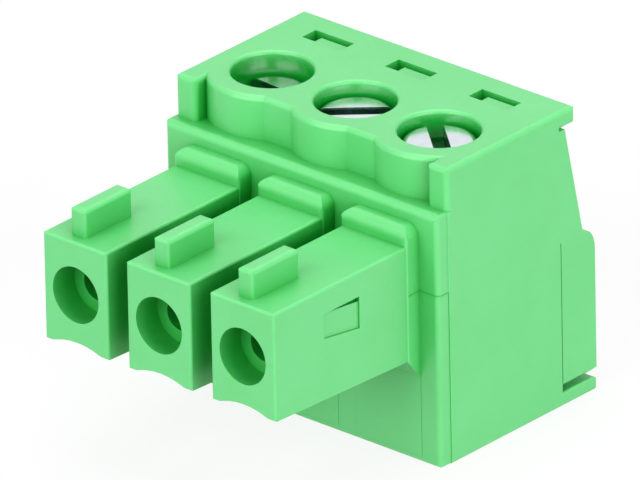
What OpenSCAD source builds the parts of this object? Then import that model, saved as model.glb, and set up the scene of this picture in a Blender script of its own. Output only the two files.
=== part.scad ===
// Pluggable screw terminal block (socket side), with rising clamp cages.
// +X runs along the row of poles, +Y from the contact fingers to the wire entries, +Z up.
// Construction planes: y = 0 is the front plate that the fingers stand on, z = 0 the base.
// Every node is moved by centre_y, so that the origin is the middle of the footprint.

/* [Poles] */
// Number of poles
poles = 3; // [2:1:8]
// Distance between neighbouring poles
pitch = 3.81; // [3.5:0.01:5.08]
// Wall between the clamp chambers of neighbouring poles
pole_wall = 0.6; // [0.4:0.05:0.8]
// Gap between neighbouring fingers
finger_gap = 0.9; // [0.7:0.02:1.3]
// Plastic beyond the outer poles' own share of the row, at each end
end_margin = 0.48; // [0.2:0.005:0.6]

/* [Body] */
// Height from base to top face
body_h = 11.15; // [10.8:0.05:14]
// Depth from front plate to rear face
body_d = 8.15; // [7.6:0.05:10]
// Depth of the rear cover, from the seam to the rear face
cover_d = 1.8; // [1.4:0.05:2.2]
// Height of the ledge on the front plate, below the top face
ledge_drop = 1.6; // [1.2:0.05:1.8]
// Distance that the front plate stands forward of the upper wall
ledge_d = 0.5; // [0.3:0.05:0.7]
// Thickness of the top plate behind the seam
top_t = 0.66; // [0.4:0.05:0.9]
// Distance that the top plate reaches behind the seam
top_overhang = 0.88; // [0.6:0.05:1.2]
// Thickness of the base lip behind the seam
lip_t = 0.5; // [0.3:0.05:0.7]
// Thickness of the floor under the clamp chambers
floor_t = 1.0; // [0.8:0.05:1.4]
// Radius on the moulded outer edges
edge_r = 0.19; // [0.05:0.01:0.22]
// Radius on the upright front corners
corner_r = 0.2; // [0.1:0.01:0.4]
// Radius along the ledge
ledge_r = 0.28; // [0.1:0.01:0.4]
// Radius on the crisp edges, such as the foot of the front plate
crisp_r = 0.07; // [0.03:0.01:0.1]

/* [Mould marks] */
// Height of the parting line above the base
parting_z = 6.5; // [6.2:0.05:7]
// Distance that the front plate stands proud of the body's side at -x
plate_proud = 0.08; // [0.02:0.01:0.1]
// Distance that the front plate lies inside the body's side at +x
plate_inset = 0.04; // [0.02:0.01:0.1]
// Shift between the upper and lower mould inserts at the parting line
parting_shift = 0.03; // [0.02:0.01:0.12]
// Size of the flash along the parting line
flash = 0.03; // [0.01:0.005:0.05]
// Thickness of the insert mark under each finger
insert_mark = 0.015; // [0.01:0.005:0.05]

/* [Screw wells] */
// Bore of a screw well
well_d = 2.9; // [2.6:0.05:3.1]
// Depth of a screw well, from the top face to the clamp chamber
well_depth = 2.5; // [2.3:0.05:3.2]
// Distance of the screw axes behind the front plate
screw_y = 2.86; // [2.7:0.02:3.4]
// Wall round a screw well, which bulges from the upper wall as a dome
dome_wall = 0.87; // [0.7:0.01:1.0]
// Distance that the flat wall between domes lies behind the front plate
flat_y = 0.93; // [0.65:0.01:1.1]
// Width of the upright block at each end of the upper wall
end_block_w = 0.92; // [0.5:0.02:1.0]
// Radius round the mouth of a well
rim_r = 0.15; // [0.1:0.01:0.3]

/* [Fingers] */
// Length of a finger, from its face to the front plate
finger_l = 7.45; // [6.5:0.05:9]
// Height of a finger at its face
finger_h = 4.05; // [3.6:0.05:4.4]
// Height of a finger's top above the contact axis
finger_rise = 2.0; // [1.8:0.05:2.2]
// Radius on the fingers' edges
finger_r = 0.1; // [0.05:0.01:0.2]
// Drop of a finger's underside from its face to the front plate
finger_draft = 0.3; // [0:0.02:0.4]
// Height of the contact axis above the base
pin_z = 6.36; // [6.2:0.02:6.8]
// Depth of the arch along a finger's underside
arch_rise = 0.24; // [0.1:0.01:0.35]
// Width of the arch
arch_w = 2.3; // [1.6:0.05:2.4]
// Width of the coding key
key_w = 0.68; // [0.5:0.02:1.2]
// Offset of the coding key from its finger's middle, towards -x
key_shift = 0.22; // [0:0.02:0.4]
// Length of the coding key
key_l = 2.4; // [1.5:0.05:3]
// Height of the coding key
key_h = 1.05; // [0.6:0.05:1.2]
// Distance of the coding key behind the finger's face
key_setback = 0.45; // [0.2:0.05:1]
// Radius on the coding key's long edges
key_r = 0.17; // [0.05:0.01:0.24]
// Depth of the collar at a finger's root
collar_d = 0.65; // [0.5:0.05:1]
// Distance that the collar stands proud of the finger's sides
collar_proud = 0.03; // [0.02:0.01:0.15]
// Height of the collar above the finger, as a rounded bead
bead_h = 0.65; // [0.4:0.05:0.9]
// Radius on the bead
bead_r = 0.42; // [0.15:0.01:0.5]
// Reach of the gusset under a finger's root
gusset_h = 0.8; // [0.4:0.02:1]
// Length of the pocket in the outer side of each end finger
pocket_l = 1.82; // [1.4:0.02:2.4]
// Distance of the pocket behind the finger's face
pocket_setback = 2.57; // [2:0.01:3.2]
// Height of the pocket's upper edge above the contact axis
pocket_rise = 1.07; // [0.8:0.01:1.3]
// Height of the pocket at its front end
pocket_h = 0.93; // [0.6:0.01:1.2]
// How much higher the pocket is at its rear end
pocket_flare = 0.27; // [0:0.01:0.4]
// Depth of the pocket's floor
pocket_t = 0.06; // [0.03:0.01:0.12]
// Depth of the wedge-shaped slit along the pocket's upper edge
slit_t = 0.22; // [0.13:0.01:0.25]
// Height of that slit at its rear end
slit_h = 0.2; // [0.1:0.01:0.25]

/* [Pin entry] */
// Bore of the lead-in at the finger's face
lead_in_d = 2.1; // [1.7:0.05:2.3]
// Depth of the lead-in
lead_in_depth = 1.1; // [0.8:0.05:1.4]
// Bore that admits the mating pin
pin_bore_d = 1.2; // [1.1:0.02:1.4]
// Thickness of the wall that the pin bore passes through
pin_wall = 0.5; // [0.3:0.05:0.8]
// Width across the mating pin
pin_w = 0.8; // [0.6:0.05:0.9]

/* [Contact] */
// Thickness of the contact strip
strip_t = 0.35; // [0.25:0.01:0.42]
// Thickness of the spring arms
arm_t = 0.25; // [0.18:0.01:0.3]
// Height of the spring arms
arm_h = 1.4; // [1.1:0.05:1.6]
// Length of the upright part at the root of the spring arms
arm_root_l = 1.4; // [1:0.1:2]
// Length of the flared lead-in at the tip of the spring arms
arm_flare_l = 1.0; // [0.6:0.1:1.4]
// Distance that each arm's tip flares outwards
arm_flare = 0.2; // [0.1:0.02:0.25]
// Width of the current bar
bar_w = 1.9; // [1.5:0.05:2]
// Clearance round the contact in its seat
contact_clear = 0.1; // [0.05:0.01:0.15]

/* [Clamp] */
// Height of the wire's axis above the base
wire_z = 3.5; // [3.3:0.05:3.7]
// Diameter of the largest wire
wire_d = 2.0; // [1.6:0.05:2.1]
// Diameter of the thinnest wire, on which the cage closes
thin_wire_d = 0.35; // [0.2:0.05:0.5]
// Distance that the cage rises from open to closed
cage_rise = 1.8; // [1.7:0.05:1.95]
// Depth of the cage along the wire
cage_d = 3.0; // [2.4:0.05:3.1]
// Wall of the cage beside the wire
cage_side_t = 0.4; // [0.3:0.01:0.45]
// Floor of the cage under the wire
cage_floor_t = 0.5; // [0.4:0.05:0.6]
// Height of the threaded head of the cage
cage_head_t = 1.0; // [0.8:0.05:1.2]
// Clearance between the cage and its chamber, on each side
cage_clear = 0.1; // [0.06:0.01:0.15]
// Clearance between the cage and the current bar
bar_clear = 0.1; // [0.06:0.01:0.15]
// Number of grip grooves across the cage's floor and the current bar
grips = 3; // [2:1:4]
// Width and depth of a grip groove
grip_w = 0.14; // [0.08:0.01:0.16]
// Radius on the folded edges of the cage
fold_r = 0.3; // [0.2:0.02:0.35]

/* [Clamp screws] */
// Clearance between a screw head and its well, on the radius
head_clear = 0.09; // [0.05:0.01:0.1]
// Height of a screw head
head_h = 1.2; // [1:0.05:1.3]
// Radius round the top of a screw head
head_r = 0.3; // [0.1:0.02:0.4]
// Diameter of the thread
thread_d = 2.0; // [1.8:0.1:2.2]
// Clearance between the thread and the cage, on the radius
thread_clear = 0.03; // [0.02:0.01:0.06]
// Width of the driving slot
slot_w = 0.6; // [0.4:0.05:0.7]
// Depth of the driving slot
slot_depth = 0.65; // [0.4:0.05:0.8]
// Gap between the lowest screw's tip and the current bar
tip_gap = 0.06; // [0.03:0.01:0.2]
// Chamfer at the screw's tip
tip_chamfer = 0.25; // [0.15:0.01:0.35]

/* [Rear cover] */
// Gap under the cover's lower edge, above the base lip
cover_foot_gap = 0.22; // [0.1:0.02:0.4]
// Chamfer along the cover's lower edge
cover_chamfer = 0.12; // [0.05:0.01:0.2]
// Width of the groove along the seam, below the step
seam_gap = 0.04; // [0.02:0.01:0.08]
// Depth of that groove
seam_gap_d = 0.12; // [0.06:0.02:0.4]
// Height of the step between the wire-entry block and the sloped wall
cover_step_z = 6.2; // [5.9:0.05:6.5]
// Depth of the step at the top of the wire-entry block
cover_step_d = 0.64; // [0.3:0.02:0.8]
// Height over which the step rounds into the rear face
cover_step_r = 0.8; // [0.4:0.05:1]
// Distance that the sloped wall reaches behind the seam, at its top
cover_top_d = 0.31; // [0.25:0.01:0.6]
// Clearance of a wire in its entry, on the radius
entry_clear = 0.1; // [0.05:0.01:0.15]
// Diameter of the funnel at the rear face
funnel_d = 3.1; // [2.8:0.05:3.3]
// Depth of the funnel
funnel_depth = 1.0; // [0.6:0.05:1.3]
// Wall of the guide ring that reaches towards the cage
ring_wall = 0.4; // [0.3:0.05:0.45]
// Width of a latch window in the top plate
window_w = 1.77; // [1.4:0.01:2]
// Length of a latch window, front to back
window_l = 0.72; // [0.5:0.02:0.8]
// Strip of the top plate between a latch window and the seam
window_strip = 0.15; // [0.1:0.01:0.3]
// Offset of a latch window from its pole, towards -x
window_shift = 0.06; // [0:0.01:0.1]
// Width of a latch tab
tab_w = 1.36; // [1:0.02:1.5]
// Length of a latch tab, front to back
tab_l = 0.56; // [0.35:0.01:0.6]
// Clearance of a latch tab at the window's far end
tab_clear = 0.04; // [0.03:0.01:0.1]
// Distance of a latch tab's end below the top face
tab_drop = 0.12; // [0.05:0.01:0.3]
// Width of the foot hook under each wire entry
hook_w = 1.8; // [1.4:0.05:2]
// Reach of the foot hook in front of the seam
hook_l = 0.9; // [0.7:0.05:1.1]
// Thickness of the foot hook
hook_t = 0.5; // [0.4:0.02:0.6]
// Drop of the foot hook's barb into the floor
barb_h = 0.25; // [0.15:0.01:0.3]
// Length of the barb, front to back
barb_l = 0.4; // [0.3:0.02:0.5]
// Clearance round the foot hook and its barb
hook_clear = 0.06; // [0.04:0.01:0.1]

/* [Hidden] */
// How far each screw is backed out: depth of its head below the top face
SCREW_DROPS = [0.8, 0.46, 0.4];
// Turn of each driving slot from the row direction
SLOT_TURNS = [-3, 42, -41];
SMOOTH = 48;
CUT = 0.05;

body_w = poles * pitch + 2 * end_margin;
centre_y = (finger_l - body_d) / 2;
seam_y = body_d - cover_d;
ledge_z = body_h - ledge_drop;
first_x = -pitch * (poles - 1) / 2;

chamber_w = pitch - pole_wall;
chamber_top = body_h - well_depth;
chamber_front = screw_y - cage_d / 2 - cage_clear;

finger_w = pitch - finger_gap;
finger_top = pin_z + finger_rise;
finger_z = finger_top - finger_h;
root_z = finger_z - finger_draft;
collar_z = finger_z - finger_draft * (finger_l - collar_d) / finger_l;
draft_angle = atan(finger_draft / finger_l);

bar_z = wire_z + wire_d / 2 + bar_clear;
bar_top = bar_z + strip_t;
bar_end = screw_y + cage_d / 2;
bar_step_y = chamber_front / 2;
seat_z = pin_z - arm_h / 2 - strip_t;
socket_w = bar_w + 2 * contact_clear;
socket_front = -finger_l + lead_in_depth + pin_wall;

cage_w = chamber_w - 2 * cage_clear;
cage_floor_z = bar_z - cage_rise - thin_wire_d;
cage_head_z = bar_top + 2 * bar_clear;

head_d = well_d - 2 * head_clear;
shank_l = body_h - max(SCREW_DROPS) - head_h - bar_top - tip_gap;

entry_d = wire_d + 2 * entry_clear;
ring_front = bar_end + cage_clear;
foot_z = lip_t + cover_foot_gap;
window_back = seam_y - window_strip;
window_front = window_back - window_l;
hook_z = floor_t + hook_clear;

function pole_x(pole) = first_x + (pole - 1) * pitch;

// Puts a node built on the construction planes into the part's frame.
module placed() {
    translate([0, centre_y, 0]) children();
}

// Repeats its children at every pole.
module each_pole() {
    for (pole = [1:poles]) translate([pole_x(pole), 0, 0]) children();
}

// Box from corner lo to corner hi.
module block(lo, hi) {
    translate(lo) cube(hi - lo);
}

// Rectangle from lo to hi with rounded corners.
module soft_rect(lo, hi, r) {
    translate([lo.x + r, lo.y]) square([hi.x - lo.x - 2 * r, hi.y - lo.y]);
    translate([lo.x, lo.y + r]) square([hi.x - lo.x, hi.y - lo.y - 2 * r]);
    for (x = [lo.x + r, hi.x - r], y = [lo.y + r, hi.y - r])
        translate([x, y]) circle(r = r, $fn = SMOOTH);
}

// Rectangle from lo to hi whose upper corners have the radius r and whose foot has crisp ones.
module top_soft_rect(lo, hi, r) {
    middle = (lo.y + hi.y) / 2;
    soft_rect([lo.x, middle - 2 * r], hi, r);
    soft_rect(lo, [hi.x, middle], crisp_r);
}

// Outline in y and z, extruded along x between two planes.
module along_x(x0, x1) {
    translate([x0, 0, 0]) rotate([90, 0, 90]) linear_extrude(x1 - x0) children();
}

// Outline in x and z, extruded along y between two planes.
module along_y(y0, y1) {
    translate([0, y1, 0]) rotate([90, 0, 0]) linear_extrude(y1 - y0) children();
}

// Outline in x and y, extruded along z between two planes.
module along_z(z0, z1) {
    translate([0, 0, z0]) linear_extrude(z1 - z0) children();
}

// Moulded block from lo to hi. r holds the radii of its edges along x, y and z.
module soft_block(lo, hi, r) {
    intersection() {
        along_x(lo.x, hi.x) soft_rect([lo.y, lo.z], [hi.y, hi.z], r.x);
        along_y(lo.y, hi.y) soft_rect([lo.x, lo.z], [hi.x, hi.z], r.y);
        along_z(lo.z, hi.z) soft_rect([lo.x, lo.y], [hi.x, hi.y], r.z);
    }
}

// Round disc whose upper edge is rounded.
module soft_disc(d, z0, z1, r) {
    rotate_extrude($fn = SMOOTH) {
        translate([0, z0]) square([d / 2 - r, z1 - z0]);
        translate([0, z0]) square([d / 2, z1 - z0 - r]);
        translate([d / 2 - r, z1 - r]) circle(r = r, $fn = SMOOTH);
    }
}

// Band of width t along a path of points, with mitred corners.
function left_of(a, b) = [a.y - b.y, b.x - a.x] / norm(b - a);
function mitre(p, i) =
    let (
        last = len(p) - 1,
        before = left_of(p[max(i - 1, 0)], p[max(i, 1)]),
        after = left_of(p[min(i, last - 1)], p[min(i + 1, last)])
    ) (before + after) / (1 + before * after);
module band(path, t) {
    side = [for (i = [0:len(path) - 1]) mitre(path, i) * t / 2];
    over = [for (i = [0:len(path) - 1]) path[i] + side[i]];
    under = [for (i = [len(path) - 1:-1:0]) path[i] - side[i]];
    polygon(concat(over, under));
}

// V-grooves across x, spaced evenly between y0 and y1, on the level z.
module grip_grooves(half, y0, y1, z) {
    for (i = [1:grips])
        translate([0, y0 + (y1 - y0) * i / (grips + 1), z])
            rotate([45, 0, 0]) cube([2 * half, grip_w, grip_w], center = true);
}

// ---- housing ----

// Front plate, whose top is the ledge, and the flash along its parting line.
module front_plate() {
    x0 = -body_w / 2 - plate_proud;
    x1 = body_w / 2 - plate_inset;
    depth = seam_y / 2;
    intersection() {
        along_x(x0, x1) top_soft_rect([0, 0], [depth, ledge_z], ledge_r);
        along_y(0, depth) top_soft_rect([x0, 0], [x1, ledge_z], finger_r);
        along_z(0, ledge_z) soft_rect([x0, 0], [x1, depth], corner_r);
        block([x0, 0, 0], [x1, ledge_d + CUT, ledge_z]);
    }
    along_z(parting_z - flash / 2, parting_z + flash / 2) intersection() {
        soft_rect([x0 - flash, -flash], [x1 + flash, depth], corner_r);
        translate([-body_w, -ledge_d]) square([2 * body_w, 2 * ledge_d]);
    }
}

// Main block behind the front plate, up to the top face.
module main_block() {
    half = body_w / 2;
    intersection() {
        block([-half, ledge_d, 0], [half, seam_y, body_h]);
        along_y(ledge_d, seam_y) top_soft_rect([-half, 0], [half, body_h], edge_r);
        along_z(0, body_h) soft_rect([-half, ledge_d], [half, seam_y + edge_r], crisp_r);
    }
}

// Corner strip that the lower mould insert leaves off the main block's front, at +x.
module parting_cut() {
    half = body_w / 2;
    block([half - plate_inset, -CUT, -CUT], [half + CUT, ledge_d + parting_shift, parting_z]);
}

// Space in front of the main block's upper wall: the domes and end blocks stand in it.
module upper_setback() {
    half = body_w / 2;
    block([-half - CUT, -CUT, ledge_z], [half + CUT, screw_y / 2, body_h + CUT]);
}

// Upper front wall: a dome round each well, with flats between them.
module upper_wall() {
    inner = body_w / 2 - end_block_w / 2;
    base_z = ledge_z - CUT;
    intersection() {
        block([-inner, 0, base_z], [inner, screw_y, body_h]);
        each_pole() translate([0, screw_y, 0])
            soft_disc(well_d + 2 * dome_wall, base_z, body_h, edge_r);
    }
    along_x(first_x, -first_x)
        soft_rect([flat_y, base_z - edge_r], [screw_y, body_h], edge_r);
}

// Upright block at each end of the upper front wall.
module end_blocks() {
    half = body_w / 2;
    for (x0 = [-half, half - end_block_w])
        soft_block([x0, ledge_d, ledge_z - 2 * edge_r],
            [x0 + end_block_w, screw_y / 2 + edge_r, body_h], [edge_r, edge_r, corner_r]);
}

// Top plate that overhangs the rear cover.
module top_plate() {
    half = body_w / 2;
    soft_block([-half, screw_y, body_h - top_t], [half, seam_y + top_overhang, body_h],
        [edge_r, edge_r, edge_r]);
}

// Base lip that the rear cover stands over.
module base_lip() {
    half = body_w / 2;
    soft_block([-half, screw_y, 0], [half, body_d, lip_t], [edge_r, crisp_r, crisp_r]);
}

// Shaft of a contact finger, whose underside falls away towards the root.
module finger_shaft() {
    half = finger_w / 2;
    intersection() {
        along_x(-half, half) {
            soft_rect([-finger_l, pin_z - finger_r], [ledge_d, finger_top], finger_r);
            soft_rect([-finger_l, finger_z], [0, pin_z], crisp_r);
            polygon([
                [crisp_r - finger_l, finger_z], [0, root_z], [ledge_d, root_z], [ledge_d, pin_z]
            ]);
        }
        along_y(-finger_l, ledge_d)
            soft_rect([-half, root_z - finger_r], [half, finger_top], finger_r);
        along_z(root_z - finger_r, finger_top)
            soft_rect([-half, -finger_l], [half, ledge_d], finger_r);
    }
}

// Contact finger at the origin's pole, with key, root collar and gusset.
module finger() {
    half = finger_w / 2 + collar_proud;
    finger_shaft();
    soft_block([-key_w / 2 - key_shift, key_setback - finger_l, pin_z],
        [key_w / 2 - key_shift, key_setback + key_l - finger_l, finger_top + key_h],
        [key_r, key_r, finger_r]);
    soft_block([-half, -collar_d, pin_z], [half, ledge_d, finger_top + bead_h],
        [bead_r, bead_r, finger_r]);
    intersection() {
        along_x(-half, half) polygon([
            [-collar_d, finger_top], [-collar_d, collar_z], [0, root_z - gusset_h],
            [ledge_d, root_z - gusset_h], [ledge_d, finger_top]
        ]);
        along_z(root_z - gusset_h, finger_top)
            soft_rect([-half, -collar_d], [half, ledge_d], finger_r);
    }
    block([-half - flash, finger_r - collar_d, parting_z - flash / 2],
        [half + flash, 0, parting_z + flash / 2]);
    block([-half, -insert_mark, corner_r], [half, ledge_d, root_z]);
}

// Shallow arch along the underside of a finger, parallel to that underside.
module finger_arch() {
    arch_r = (arch_w * arch_w / 4 + arch_rise * arch_rise) / (2 * arch_rise);
    lead = arch_r * sin(draft_angle) + CUT;
    translate([0, -finger_l, finger_z + arch_rise - arch_r])
        rotate([-90 - draft_angle, 0, 0]) translate([0, 0, -lead])
            cylinder(r = arch_r, h = finger_l - collar_d + lead, $fn = SMOOTH);
}

// Pocket in the outer side of an end finger, with a wedge-shaped slit along its upper edge.
module side_pocket(side) {
    y0 = pocket_setback - finger_l;
    y1 = y0 + pocket_l;
    top_z = pin_z + pocket_rise;
    face = finger_w / 2;
    mirror([side > 0 ? 0 : 1, 0, 0]) {
        along_x(face - pocket_t, face + CUT) polygon([
            [y0, top_z], [y0, top_z - pocket_h], [y1, top_z - pocket_h - pocket_flare], [y1, top_z]
        ]);
        along_x(face - slit_t, face) polygon([[y0, top_z], [y1, top_z - slit_h], [y1, top_z]]);
    }
}

// Lead-in, pin bore, contact seat and the passage to the clamp chamber.
module finger_cavity() {
    translate([0, -finger_l - CUT, pin_z]) rotate([-90, 0, 0])
        cylinder(d = lead_in_d, h = lead_in_depth + CUT, $fn = SMOOTH);
    translate([0, -finger_l, pin_z]) rotate([-90, 0, 0])
        cylinder(d = pin_bore_d, h = lead_in_depth + pin_wall + CUT, $fn = SMOOTH);
    block([-socket_w / 2, socket_front, seat_z - contact_clear],
        [socket_w / 2, chamber_front + CUT, pin_z + arm_h / 2 + strip_t]);
    block([-socket_w / 2, bar_step_y - strip_t * 2, bar_z - contact_clear],
        [socket_w / 2, chamber_front + CUT, pin_z]);
}

// Screw well with its rounded mouth.
module screw_well() {
    translate([0, screw_y, 0]) {
        translate([0, 0, chamber_top - CUT])
            cylinder(d = well_d, h = well_depth + 2 * CUT, $fn = SMOOTH);
        rotate_extrude($fn = SMOOTH) difference() {
            translate([0, body_h - rim_r]) square([well_d / 2 + rim_r, rim_r + CUT]);
            translate([well_d / 2 + rim_r, body_h - rim_r]) circle(r = rim_r, $fn = SMOOTH);
        }
    }
}

// Chamber in which the cage rises, open to the rear, with a pocket in its floor for the foot hook.
module clamp_chamber() {
    block([-chamber_w / 2, chamber_front, floor_t], [chamber_w / 2, seam_y + CUT, chamber_top]);
    block([-hook_w / 2 - hook_clear, seam_y - hook_l - hook_clear, floor_t - barb_h],
        [hook_w / 2 + hook_clear, seam_y - hook_l + barb_l + hook_clear, floor_t + CUT]);
}

// Window through the top plate, and the pocket that a latch tab hooks into.
module latch_window() {
    x0 = -window_w / 2 - window_shift;
    x1 = window_w / 2 - window_shift;
    block([x0, window_front, body_h - top_t - CUT], [x1, window_back, body_h + CUT]);
    block([x0, window_front, chamber_top + pole_wall], [x1, seam_y + CUT, body_h - top_t]);
}

module housing() {
    color("limegreen") placed() difference() {
        union() {
            difference() {
                main_block();
                upper_setback();
                parting_cut();
            }
            front_plate();
            end_blocks();
            upper_wall();
            top_plate();
            base_lip();
            each_pole() finger();
        }
        each_pole() {
            finger_arch();
            finger_cavity();
            screw_well();
            clamp_chamber();
            latch_window();
        }
        for (side = [-1, 1]) translate([-side * first_x, 0, 0]) side_pocket(side);
    }
}

// ---- rear cover ----

// Side outline of the cover: wire-entry block below, sloped wall above.
module cover_outline() {
    step_y = body_d - cover_step_d;
    roof_z = body_h - top_t - CUT;
    turn = [cover_step_d - cover_chamfer, cover_step_r];
    polygon(concat(
        [[seam_y, foot_z], [body_d - cover_chamfer, foot_z], [body_d, foot_z + cover_chamfer]],
        [for (a = [0:15:90]) [
            body_d - turn.x * (1 - cos(a)), cover_step_z - turn.y * (1 - sin(a))
        ]],
        [[step_y, cover_step_z + cover_chamfer], [seam_y + cover_top_d, roof_z], [seam_y, roof_z]]
    ));
}

// Cut that chamfers the cover's lower edge and the groove along the seam, on the side at +x.
module cover_side_cut() {
    half = body_w / 2;
    block([half - seam_gap_d, seam_y - CUT, foot_z - CUT],
        [half + CUT, seam_y + seam_gap, cover_step_z]);
    along_y(seam_y - CUT, body_d + CUT) polygon([
        [half - cover_chamfer, foot_z], [half + CUT, foot_z + cover_chamfer + CUT],
        [half + CUT, foot_z - CUT], [half - cover_chamfer, foot_z - CUT]
    ]);
}

// Hook that reaches forward under the top plate and up into a latch window.
module latch_tab() {
    x1 = window_w / 2 - window_shift - tab_clear;
    x0 = x1 - tab_w;
    y0 = window_front + tab_clear;
    z0 = chamber_top + pole_wall + tab_clear;
    block([x0, y0, z0], [x1, seam_y + CUT, body_h - top_t - tab_clear]);
    soft_block([x0, y0, z0], [x1, y0 + tab_l, body_h - tab_drop], [crisp_r, crisp_r, crisp_r]);
}

// Hook at the cover's foot, whose barb drops into a pocket in the chamber's floor.
module foot_hook() {
    y0 = seam_y - hook_l;
    along_x(-hook_w / 2, hook_w / 2) polygon([
        [seam_y + CUT, hook_z], [y0 + barb_l, hook_z], [y0 + barb_l, hook_z - barb_h],
        [y0 + barb_l / 2, hook_z - barb_h], [y0, hook_z], [y0, hook_z + hook_t / 2],
        [y0 + hook_t / 2, hook_z + hook_t], [seam_y + CUT, hook_z + hook_t]
    ]);
}

// Guide ring round a wire entry, flattened where the chamber is narrower.
module guide_ring() {
    side = chamber_w / 2 - cage_clear;
    intersection() {
        translate([0, ring_front, wire_z]) rotate([-90, 0, 0])
            cylinder(d = entry_d + 2 * ring_wall, h = seam_y - ring_front + CUT, $fn = SMOOTH);
        block([-side, ring_front - CUT, hook_z + hook_t + hook_clear],
            [side, seam_y + 2 * CUT, chamber_top - cage_clear]);
    }
}

// Wire entry with its funnel.
module wire_entry() {
    translate([0, ring_front - CUT, wire_z]) rotate([-90, 0, 0])
        cylinder(d = entry_d, h = body_d - ring_front + 2 * CUT, $fn = SMOOTH);
    translate([0, body_d - funnel_depth, wire_z]) rotate([-90, 0, 0])
        cylinder(d1 = entry_d, d2 = funnel_d, h = funnel_depth + CUT / 10, $fn = SMOOTH);
}

module rear_cover() {
    half = body_w / 2;
    color("mediumseagreen") placed() difference() {
        union() {
            along_x(-half, half) cover_outline();
            each_pole() {
                latch_tab();
                foot_hook();
                guide_ring();
            }
        }
        cover_side_cut();
        mirror([1, 0, 0]) cover_side_cut();
        each_pole() wire_entry();
    }
}

// ---- clamp ----

// Slotted clamp screw with a cylindrical head.
module clamp_screw(pole) {
    index = (pole - 1) % len(SCREW_DROPS);
    top = body_h - SCREW_DROPS[index];
    tip = top - head_h - shank_l;
    color("silver") placed() translate([pole_x(pole), screw_y, 0]) difference() {
        union() {
            soft_disc(head_d, top - head_h, top, head_r);
            translate([0, 0, tip])
                cylinder(d1 = thread_d - 2 * tip_chamfer, d2 = thread_d, h = tip_chamfer, $fn = SMOOTH);
            translate([0, 0, tip + tip_chamfer])
                cylinder(d = thread_d, h = shank_l - tip_chamfer + CUT, $fn = SMOOTH);
        }
        translate([0, 0, top - slot_depth]) rotate([0, 0, SLOT_TURNS[index]])
            translate([-well_d, -slot_w / 2, 0]) cube([2 * well_d, slot_w, slot_depth + CUT]);
    }
}

// Rising cage, folded from thick strip: threaded head, side walls and a gripping floor.
module clamp_cage(pole) {
    half = cage_w / 2;
    y0 = screw_y - cage_d / 2;
    y1 = screw_y + cage_d / 2;
    color("gainsboro") placed() translate([pole_x(pole), 0, 0]) difference() {
        along_y(y0, y1) soft_rect([-half, cage_floor_z - cage_floor_t],
            [half, cage_head_z + cage_head_t], fold_r);
        block([cage_side_t - half, y0 - CUT, cage_floor_z], [half - cage_side_t, y1 + CUT, cage_head_z]);
        translate([0, screw_y, cage_head_z - CUT])
            cylinder(d = thread_d + 2 * thread_clear, h = cage_head_t + 2 * CUT, $fn = SMOOTH);
        grip_grooves(half - cage_side_t, y0, y1, cage_floor_z);
    }
}

// Stamped contact: base strip with the current bar, and two spring arms that grip the pin.
module contact(pole) {
    arm_root = bar_step_y - 2 * strip_t;
    arm_bend = arm_root - arm_root_l;
    arm_tip = socket_front + contact_clear;
    outer = bar_w / 2 - arm_t / 2;
    grip = pin_w / 2 - contact_clear / 2 + arm_t / 2;
    color("gold") placed() translate([pole_x(pole), 0, 0]) difference() {
        union() {
            along_x(-bar_w / 2, bar_w / 2) band([
                [arm_bend, seat_z + strip_t / 2], [arm_root + strip_t, seat_z + strip_t / 2],
                [bar_step_y + strip_t, bar_z + strip_t / 2], [bar_end, bar_z + strip_t / 2]
            ], strip_t);
            for (side = [-1, 1])
                along_z(seat_z + strip_t - CUT, seat_z + strip_t + arm_h) band([
                    [side * outer, arm_root], [side * outer, arm_bend],
                    [side * grip, arm_tip + arm_flare_l], [side * (grip + arm_flare), arm_tip]
                ], arm_t);
        }
        grip_grooves(bar_w, bar_end - cage_d, bar_end, bar_z);
    }
}

housing();
rear_cover();
for (pole = [1:poles]) {
    clamp_screw(pole);
    clamp_cage(pole);
    contact(pole);
}
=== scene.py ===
import math

import bmesh
import bpy
from mathutils import Matrix, Vector


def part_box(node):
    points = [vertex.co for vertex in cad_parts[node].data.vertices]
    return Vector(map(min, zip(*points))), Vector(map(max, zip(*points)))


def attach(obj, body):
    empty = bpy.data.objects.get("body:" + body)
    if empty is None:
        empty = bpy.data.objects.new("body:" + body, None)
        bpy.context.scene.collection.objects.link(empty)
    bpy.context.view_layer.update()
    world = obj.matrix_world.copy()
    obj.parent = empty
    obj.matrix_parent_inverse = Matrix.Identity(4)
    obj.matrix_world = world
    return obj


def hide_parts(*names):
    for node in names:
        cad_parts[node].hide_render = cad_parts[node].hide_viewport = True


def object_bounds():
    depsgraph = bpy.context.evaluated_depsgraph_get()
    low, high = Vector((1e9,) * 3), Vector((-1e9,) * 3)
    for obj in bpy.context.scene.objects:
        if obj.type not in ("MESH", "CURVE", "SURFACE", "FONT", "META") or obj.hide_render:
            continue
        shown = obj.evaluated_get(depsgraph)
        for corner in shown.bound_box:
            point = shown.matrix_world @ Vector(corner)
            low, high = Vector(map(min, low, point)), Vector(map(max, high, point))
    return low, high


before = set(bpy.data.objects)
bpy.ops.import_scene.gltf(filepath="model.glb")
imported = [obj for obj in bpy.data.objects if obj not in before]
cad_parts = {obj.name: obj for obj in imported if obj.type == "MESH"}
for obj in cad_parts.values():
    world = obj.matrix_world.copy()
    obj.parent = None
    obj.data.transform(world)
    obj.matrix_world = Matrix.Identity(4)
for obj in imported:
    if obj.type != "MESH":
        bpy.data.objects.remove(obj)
CAD_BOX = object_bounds()

# Pluggable screw terminal block in its studio. AIM and the sizes of the screws are in
# millimetres. All other lengths are in metres, most of them written as a number of MM.
MM = 0.001
WHITE = (1, 1, 1, 1)
POLES = (1, 2, 3)
scene = bpy.context.scene

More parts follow.
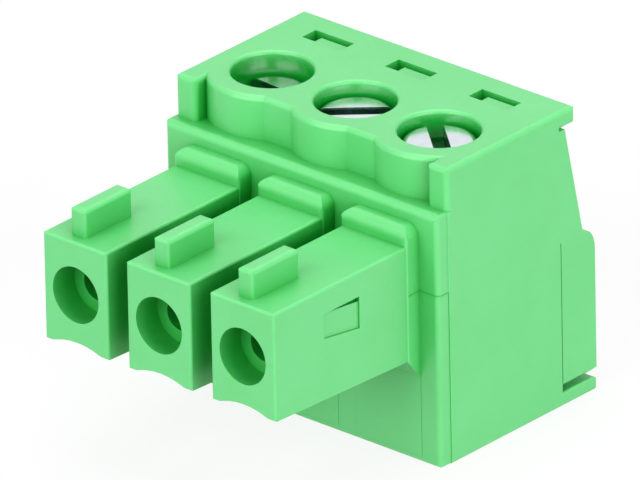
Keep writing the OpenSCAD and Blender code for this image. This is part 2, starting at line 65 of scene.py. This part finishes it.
# ---- camera ----
AZIMUTH = 41.79
ELEVATION = 25.54
ROLL = -1.16
DISTANCE = 0.736
LENS = 1205
AIM = (0.096, 0.426, 6.577)
CLIP = (0.01, 20)


def set_camera():
    a, e = math.radians(AZIMUTH), math.radians(ELEVATION)
    back = Vector((math.sin(a) * math.cos(e), -math.cos(a) * math.cos(e), math.sin(e)))
    right = Vector((math.cos(a), math.sin(a), 0))
    up = back.cross(right)
    roll = Matrix.Rotation(math.radians(ROLL), 3, back)
    right, up = roll @ right, roll @ up
    data = bpy.data.cameras.new("camera")
    data.lens = LENS
    data.clip_start, data.clip_end = CLIP
    camera = bpy.data.objects.new("camera", data)
    camera.matrix_world = Matrix.Translation(Vector(AIM) * MM + back * DISTANCE) @ Matrix(
        (right, up, back)).transposed().to_4x4()
    scene.collection.objects.link(camera)
    scene.camera = camera


# ---- material tools ----
NOISE_SPAN = (0.3, 0.7)


def new_material(name):
    material = bpy.data.materials.new(name)
    material.use_nodes = True
    return material, material.node_tree, material.node_tree.nodes["Principled BSDF"]


def add(tree, kind, inputs=(), **settings):
    """Adds a node. A value that is a socket is linked, any other value is set."""
    node = tree.nodes.new(kind)
    for key, value in settings.items():
        setattr(node, key, value)
    for key, value in dict(inputs).items():
        plug(tree, node.inputs[key], value)
    return node


def plug(tree, socket, value):
    if isinstance(value, bpy.types.NodeSocket):
        tree.links.new(value, socket)
    else:
        socket.default_value = value


def math_node(tree, operation, first, second=0.0, third=0.0):
    return add(tree, "ShaderNodeMath", {0: first, 1: second, 2: third}, operation=operation).outputs[0]


def place(tree):
    """Place on the piece, in metres from its origin."""
    return add(tree, "ShaderNodeTexCoord").outputs["Object"]


def noise(tree, size, detail=2.0, stretch=(1, 1, 1)):
    """Noise from 0 to 1 whose grains are about size metres across."""
    scaled = add(tree, "ShaderNodeMapping", {"Vector": place(tree), "Scale": stretch}).outputs[0]
    return add(tree, "ShaderNodeTexNoise",
               {"Vector": scaled, "Scale": 1 / size, "Detail": detail}).outputs["Fac"]


def ramp(tree, value, low, high):
    """Maps a noise value from its usual span to low to high."""
    return add(tree, "ShaderNodeMapRange", {
        "Value": value, "From Min": NOISE_SPAN[0], "From Max": NOISE_SPAN[1],
        "To Min": low, "To Max": high
    }).outputs[0]


def color_mix(tree, share, low, high, blend_type="MIX"):
    """Goes from the colour low to the colour high as share goes from 0 to 1."""
    mix = add(tree, "ShaderNodeMix", data_type="RGBA", blend_type=blend_type)
    for key, value in ((0, share), (6, low), (7, high)):
        plug(tree, mix.inputs[key], value)
    return mix.outputs[2]


def tint(tree, value, low, high):
    """Mixes the colours low and high by a noise value."""
    return color_mix(tree, ramp(tree, value, 0, 1), (*low, 1), (*high, 1))


def bump(tree, height, depth, below=None):
    """Bump whose full height is depth metres, on top of another bump."""
    node = add(tree, "ShaderNodeBump", {"Height": height, "Distance": depth, "Strength": 1.0})
    if below is not None:
        plug(tree, node.inputs["Normal"], below)
    return node.outputs[0]


# ---- plastic ----
GREEN_DEEP = (0.133, 0.644, 0.203)
GREEN_PALE = (0.147, 0.671, 0.225)
TONE_PATCH = 2.4 * MM
# Colour of the painted shade in gaps, holes and screw wells
GREEN_PAINTED_SHADE = (0.002, 0.345, 0.024)
RECESS_REACH = 2.9 * MM
RECESS_SAMPLES = 8
RECESS_FULL = 0.21
RECESS_CURVE = 1.00
ROUGH = (0.3, 0.4)
ROUGH_PATCH = 0.5 * MM
SPECULAR = 0.66
SCATTER = 0.1
SCATTER_DEPTH = 0.3 * MM
SCATTER_SPREAD = (0.25, 1.0, 0.4)
GRAIN = 0.07 * MM
GRAIN_DEPTH = 0.0016 * MM
RIPPLE = 1.3 * MM
RIPPLE_DEPTH = 0.004 * MM
WELL_REACH = 1.5 * MM
WELL_FADE = 0.5 * MM
WELL_GLOSS = -0.16
# How much further the painted shade darkens the walls of the screw wells
WELL_SHADE = 0.61


def well_mask(tree):
    """1 down on the walls of the screw wells, falling to 0 at their rims, and 0 elsewhere."""
    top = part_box("housing")[1].z
    low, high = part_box("clamp_screw_2")
    middle = (low + high) / 2
    pitch = (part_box("clamp_screw_3")[0] - low).x
    split = add(tree, "ShaderNodeSeparateXYZ", {0: place(tree)})
    offset = math_node(tree, "SUBTRACT", split.outputs[0], middle.x)
    row_half = pitch * len(POLES) / 2
    in_row = math_node(tree, "LESS_THAN", math_node(tree, "ABSOLUTE", offset), row_half)
    along = math_node(tree, "WRAP", offset, pitch / 2, -pitch / 2)
    across = math_node(tree, "SUBTRACT", split.outputs[1], middle.y)
    square = math_node(tree, "MULTIPLY", across, across)
    radius = math_node(tree, "SQRT", math_node(tree, "MULTIPLY_ADD", along, along, square))
    near_axis = math_node(tree, "LESS_THAN", radius, WELL_REACH)
    above_foot = math_node(tree, "GREATER_THAN", split.outputs[2], low.z)
    mask = add(tree, "ShaderNodeMapRange", {
        "Value": split.outputs[2], "From Min": top - WELL_FADE, "From Max": top,
        "To Min": 1.0, "To Max": 0.0
    }).outputs[0]
    for part in (in_row, near_axis, above_foot):
        mask = math_node(tree, "MULTIPLY", mask, part)
    return mask


def painted_recess_shade(tree, green, well):
    """Painted shade: deeper, darker green where the surface lies in a gap or hole of its own mesh,
    most of all down the walls of the screw wells.
    """
    open_air = add(tree, "ShaderNodeAmbientOcclusion", {"Distance": RECESS_REACH},
                   samples=RECESS_SAMPLES, only_local=True)
    share = add(tree, "ShaderNodeMapRange", {
        "Value": open_air.outputs["AO"], "From Min": RECESS_FULL
    }).outputs[0]
    share = math_node(tree, "POWER", share, RECESS_CURVE)
    share = math_node(tree, "MULTIPLY_ADD", well, -WELL_SHADE, share)
    return color_mix(tree, share, (*GREEN_PAINTED_SHADE, 1), green)


def plastic(name, wells):
    """Satin moulded plastic: fine grain, slow ripples, painted shade in gaps, holes and down the screw
    wells, and glossier walls in the screw wells.
    """
    material, tree, shader = new_material(name)
    slow = noise(tree, RIPPLE)
    fine = noise(tree, GRAIN, 3)
    well = well_mask(tree) if wells else 0.0
    green = tint(tree, noise(tree, TONE_PATCH, 3), GREEN_DEEP, GREEN_PALE)
    plug(tree, shader.inputs["Base Color"], painted_recess_shade(tree, green, well))
    rough = ramp(tree, noise(tree, ROUGH_PATCH), *ROUGH)
    plug(tree, shader.inputs["Roughness"], math_node(tree, "MULTIPLY_ADD", well, WELL_GLOSS, rough))
    shader.inputs["Subsurface Weight"].default_value = SCATTER
    shader.inputs["Subsurface Radius"].default_value = SCATTER_SPREAD
    shader.inputs["Subsurface Scale"].default_value = SCATTER_DEPTH
    shader.inputs["Specular IOR Level"].default_value = SPECULAR
    ripples = bump(tree, slow, RIPPLE_DEPTH)
    plug(tree, shader.inputs["Normal"], bump(tree, fine, GRAIN_DEPTH, ripples))
    return material


# ---- metals ----
ZINC = ((0.70, 0.74, 0.80), (0.79, 0.82, 0.87))
DULL_ZINC = ((0.60, 0.61, 0.64), (0.72, 0.73, 0.75))
TIN = ((0.74, 0.71, 0.64), (0.83, 0.81, 0.76))
PLATING_PATCH = 0.6 * MM
GLOSS_PATCH = 0.15 * MM
SCREW_ROUGH = (0.15, 0.22)
CAGE_ROUGH = (0.3, 0.45)
CONTACT_ROUGH = (0.22, 0.34)
TURNING = 0.07 * MM
TURNING_DEPTH = 0.0004 * MM
ROLLING = 0.03 * MM
ROLLING_DEPTH = 0.0012 * MM
# Colour of the painted shade in the screw slots and on the heads' rims
SLOT_PAINTED_SHADE = (0.35, 0.5, 0.42)
SLOT_SHADE_DEPTH = 0.1 * MM


def metal(name, colors, rough):
    """Plated metal: patchy tone and gloss."""
    material, tree, shader = new_material(name)
    plug(tree, shader.inputs["Base Color"], tint(tree, noise(tree, PLATING_PATCH, 3), *colors))
    plug(tree, shader.inputs["Roughness"], ramp(tree, noise(tree, GLOSS_PATCH), *rough))
    shader.inputs["Metallic"].default_value = 1
    return material, tree, shader


def painted_slot_shade(tree):
    """Painted shade: white on the head's flat top and on the thread, falling to a shade colour down in
    the slot and on the head's rounded rim and side.
    """
    height = add(tree, "ShaderNodeSeparateXYZ", {0: place(tree)}).outputs[2]
    shade = add(tree, "ShaderNodeMapRange", {
        "Value": height, "From Min": -SLOT_SHADE_DEPTH, "From Max": -BREAK_EDGE * MM
    }).outputs[0]
    below = math_node(tree, "LESS_THAN", height, -(SLOT_DEPTH + BREAK_EDGE) * MM)
    share = math_node(tree, "MAXIMUM", shade, below)
    return color_mix(tree, share, (*SLOT_PAINTED_SHADE, 1), WHITE)


def turned_zinc():
    """Screw plating with painted shade down in the slot and on the head's rim, and with the rings that
    the tool left round the axis.
    """
    material, tree, shader = metal("turned_zinc", ZINC, SCREW_ROUGH)
    plating = shader.inputs["Base Color"].links[0].from_socket
    tone = color_mix(tree, 1.0, plating, painted_slot_shade(tree), "MULTIPLY")
    plug(tree, shader.inputs["Base Color"], tone)
    rings = add(tree, "ShaderNodeTexWave", {
        "Vector": place(tree), "Scale": 0.1 * math.pi / TURNING, "Distortion": 0.6, "Detail": 1.0
    }, wave_type="RINGS", rings_direction="Z").outputs["Fac"]
    plug(tree, shader.inputs["Normal"], bump(tree, rings, TURNING_DEPTH))
    return material


def rolled_metal(name, colors, rough, grain):
    """Stamped strip, with rolling lines along the direction in which grain is small."""
    material, tree, shader = metal(name, colors, rough)
    lines = noise(tree, ROLLING, 2, grain)
    plug(tree, shader.inputs["Normal"], bump(tree, lines, ROLLING_DEPTH))
    return material


# ---- clamp screws ----
HEAD_H = 1.2
HEAD_R = 0.3
HEAD_FOOT = 0.1
THREAD_R = 1.0
THREAD_PITCH = 0.4
THREAD_DEPTH = 0.22
THREAD_FLANK = 2.6
NECK_L = 0.5
TIP_CHAMFER = 0.25
SLOT_W = 0.6
SLOT_DEPTH = 0.65
SLOT_FLOOR_R = 0.06
SLOT_TURNS = (-3, 42, -41)
BREAK_EDGE = 0.035
BREAK_STEPS = 3
BREAK_ANGLE = 40
SMOOTH_ANGLE = 35
RIM_STEPS = 8
ROUND_STEPS = 96
THREAD_STEPS = 12


def ring_mesh(name, rings):
    """Closed mesh through a list of rings of points, each with as many points."""
    mesh = bpy.data.meshes.new(name)
    count = len(rings[0])
    faces = []
    for i in range(len(rings) - 1):
        for j in range(count):
            k = (j + 1) % count
            faces.append((i * count + j, i * count + k, (i + 1) * count + k, (i + 1) * count + j))
    faces.append(tuple(reversed(range(count))))
    faces.append(tuple(range((len(rings) - 1) * count, len(rings) * count)))
    mesh.from_pydata([p for ring in rings for p in ring], [], faces)
    mesh.validate()
    bm = bmesh.new()
    bm.from_mesh(mesh)
    bmesh.ops.recalc_face_normals(bm, faces=bm.faces)
    bm.to_mesh(mesh)
    bm.free()
    return mesh


def circle(radius, z):
    return [(radius * math.cos(t), radius * math.sin(t), z)
            for t in (2 * math.pi * i / ROUND_STEPS for i in range(ROUND_STEPS))]


def head_rings(radius):
    """Head from its underside to the rounded rim of its flat top, whose level is 0."""
    rings = [circle(radius - HEAD_FOOT, -HEAD_H), circle(radius, HEAD_FOOT - HEAD_H)]
    for i in range(RIM_STEPS + 1):
        t = math.pi / 2 * i / RIM_STEPS
        rings.append(circle(radius - HEAD_R + HEAD_R * math.cos(t), HEAD_R * math.sin(t) - HEAD_R))
    return rings


def thread_rings(length):
    """Threaded shank from its tip up into the head."""
    rings = []
    bottom = -HEAD_H - length
    turns = (length + HEAD_FOOT) / THREAD_PITCH
    steps = round(turns * THREAD_STEPS)
    for i in range(steps + 1):
        z = bottom + (length + HEAD_FOOT) * i / steps
        tip = THREAD_R - TIP_CHAMFER + z - bottom
        fade = min(1, max(0, (-HEAD_H - z) / NECK_L))
        ring = []
        for j in range(ROUND_STEPS):
            phase = (z / THREAD_PITCH + j / ROUND_STEPS) % 1
            groove = min(1, THREAD_FLANK * min(phase, 1 - phase))
            radius = THREAD_R - THREAD_DEPTH * fade * (1 - groove) - THREAD_DEPTH * (1 - fade) / 2
            radius = min(radius, tip)
            t = 2 * math.pi * j / ROUND_STEPS
            ring.append((radius * math.cos(t), radius * math.sin(t), z))
        rings.append(ring)
    return rings


def slot_rings(radius):
    """Cutter for the driving slot, with a slightly rounded floor."""
    half, soft = SLOT_W / 2, SLOT_FLOOR_R
    outline = [(-half, HEAD_H), (-half, soft - SLOT_DEPTH)]
    outline += [(-half + soft, -SLOT_DEPTH), (half - soft, -SLOT_DEPTH)]
    outline += [(half, soft - SLOT_DEPTH), (half, HEAD_H)]
    return [[(x, y, z) for y, z in outline] for x in (-2 * radius, 2 * radius)]


def baked(obj):
    """Mesh of an object with its modifiers applied."""
    bpy.context.view_layer.update()
    return bpy.data.meshes.new_from_object(obj.evaluated_get(bpy.context.evaluated_depsgraph_get()))


def slotted_head(radius, turn):
    head = bpy.data.objects.new("head", ring_mesh("head", head_rings(radius)))
    cutter = bpy.data.objects.new("cutter", ring_mesh("cutter", slot_rings(radius)))
    cutter.rotation_euler.z = math.radians(turn)
    for obj in (head, cutter):
        scene.collection.objects.link(obj)
    cut = head.modifiers.new("slot", "BOOLEAN")
    cut.object = cutter
    cut.solver = "EXACT"
    soften = head.modifiers.new("break_edges", "BEVEL")
    soften.width = BREAK_EDGE
    soften.segments = BREAK_STEPS
    soften.limit_method = "ANGLE"
    soften.angle_limit = math.radians(BREAK_ANGLE)
    mesh = baked(head)
    for obj in (head, cutter):
        bpy.data.objects.remove(obj)
    return mesh


def clamp_screw(pole, material):
    node = f"clamp_screw_{pole}"
    low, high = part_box(node)
    radius = (high.x - low.x) / 2 / MM
    length = (high.z - low.z) / MM - HEAD_H
    bm = bmesh.new()
    bm.from_mesh(slotted_head(radius, SLOT_TURNS[pole - 1]))
    bm.from_mesh(ring_mesh("thread", thread_rings(length)))
    bmesh.ops.scale(bm, vec=(MM, MM, MM), verts=bm.verts)
    mesh = bpy.data.meshes.new(f"screw_{pole}")
    bm.to_mesh(mesh)
    bm.free()
    mesh.materials.append(material)
    mesh.shade_smooth()
    mesh.set_sharp_from_angle(angle=math.radians(SMOOTH_ANGLE))
    screw = bpy.data.objects.new(f"screw_{pole}", mesh)
    screw.location = ((low.x + high.x) / 2, (low.y + high.y) / 2, high.z)
    scene.collection.objects.link(screw)
    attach(screw, f"screw_{pole}")
    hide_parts(node)


# ---- studio ----
SKY_FILL = 0.147
FLOOR_SIZE = 2.0
FLOOR_GLOW = 0.85
FLOOR_SEEN = 0.95
FLOOR_BOUNCE = 0.48
FLOOR_ROUGH = 0.9
LAMP_DISTANCE = 0.4
LAMP_SIZE = 0.45
LAMPS = {
    "front": ((-0.05, -0.93, 0.45), 0.888),
    "side": ((0.92, -0.12, 0.18), 1.167),
    "top": ((-0.10, 0.21, 0.96), 0.674),
}


def seen_directly(tree):
    """1 for rays that show the background itself, in the view, a reflection or glass."""
    path = add(tree, "ShaderNodeLightPath")
    glossy = math_node(tree, "ADD", path.outputs["Is Camera Ray"], path.outputs["Is Glossy Ray"])
    return math_node(tree, "MINIMUM", math_node(
        tree, "ADD", glossy, path.outputs["Is Transmission Ray"]), 1.0)


def white_world():
    world = bpy.data.worlds.new("world")
    scene.world = world
    world.use_nodes = True
    tree = world.node_tree
    background = tree.nodes["Background"]
    background.inputs[0].default_value = WHITE
    strength = math_node(tree, "MULTIPLY_ADD", seen_directly(tree), 1 - SKY_FILL, SKY_FILL)
    plug(tree, background.inputs[1], strength)


def white_floor():
    """Pale floor that the camera sees almost white, with a faint shadow left on it."""
    half = FLOOR_SIZE / 2
    mesh = bpy.data.meshes.new("floor")
    mesh.from_pydata([(-half, -half, 0), (half, -half, 0), (half, half, 0), (-half, half, 0)],
                     [], [(0, 1, 2, 3)])
    floor = bpy.data.objects.new("floor", mesh)
    floor.location.z = CAD_BOX[0][2]
    scene.collection.objects.link(floor)
    material, tree, shader = new_material("floor")
    seen = seen_directly(tree)
    tone = math_node(tree, "MULTIPLY_ADD", seen, FLOOR_SEEN - FLOOR_BOUNCE, FLOOR_BOUNCE)
    plug(tree, shader.inputs["Base Color"], tone)
    shader.inputs["Roughness"].default_value = FLOOR_ROUGH
    shader.inputs["Specular IOR Level"].default_value = 0
    glow = add(tree, "ShaderNodeEmission", {"Color": WHITE, "Strength": 1.0})
    mix = add(tree, "ShaderNodeMixShader")
    plug(tree, mix.inputs[0], math_node(tree, "MULTIPLY", seen, FLOOR_GLOW))
    plug(tree, mix.inputs[1], shader.outputs[0])
    plug(tree, mix.inputs[2], glow.outputs[0])
    plug(tree, tree.nodes["Material Output"].inputs[0], mix.outputs[0])
    mesh.materials.append(material)


def lamp(name, direction, level):
    """Round soft lamp. A white surface that faces a lamp of level 1 looks white, or darker where
    the floor cuts off the lamp's lower edge."""
    direction = Vector(direction).normalized()
    data = bpy.data.lights.new(name, "AREA")
    data.shape = "DISK"
    data.size = LAMP_SIZE
    data.energy = level * math.pi ** 2 * LAMP_DISTANCE ** 2
    obj = bpy.data.objects.new(name, data)
    obj.location = Vector(AIM) * MM + direction * LAMP_DISTANCE
    obj.rotation_euler = (-direction).to_track_quat("-Z", "Y").to_euler()
    scene.collection.objects.link(obj)


# ---- scene ----
set_camera()
white_world()
white_floor()
for name, (direction, level) in LAMPS.items():
    lamp(name, direction, level)

LOOKS = {
    "housing": plastic("housing_plastic", True),
    "rear_cover": plastic("cover_plastic", False),
}
cage_look = rolled_metal("cage_zinc", DULL_ZINC, CAGE_ROUGH, (0.1, 1, 1))
contact_look = rolled_metal("contact_tin", TIN, CONTACT_ROUGH, (1, 0.1, 1))
for pole in POLES:
    LOOKS[f"clamp_cage_{pole}"] = cage_look
    LOOKS[f"contact_{pole}"] = contact_look
for name, look in LOOKS.items():
    for material_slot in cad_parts[name].material_slots:
        material_slot.material = look

screw_look = turned_zinc()
for pole in POLES:
    clamp_screw(pole, screw_look)

scene.view_settings.view_transform = "Standard"
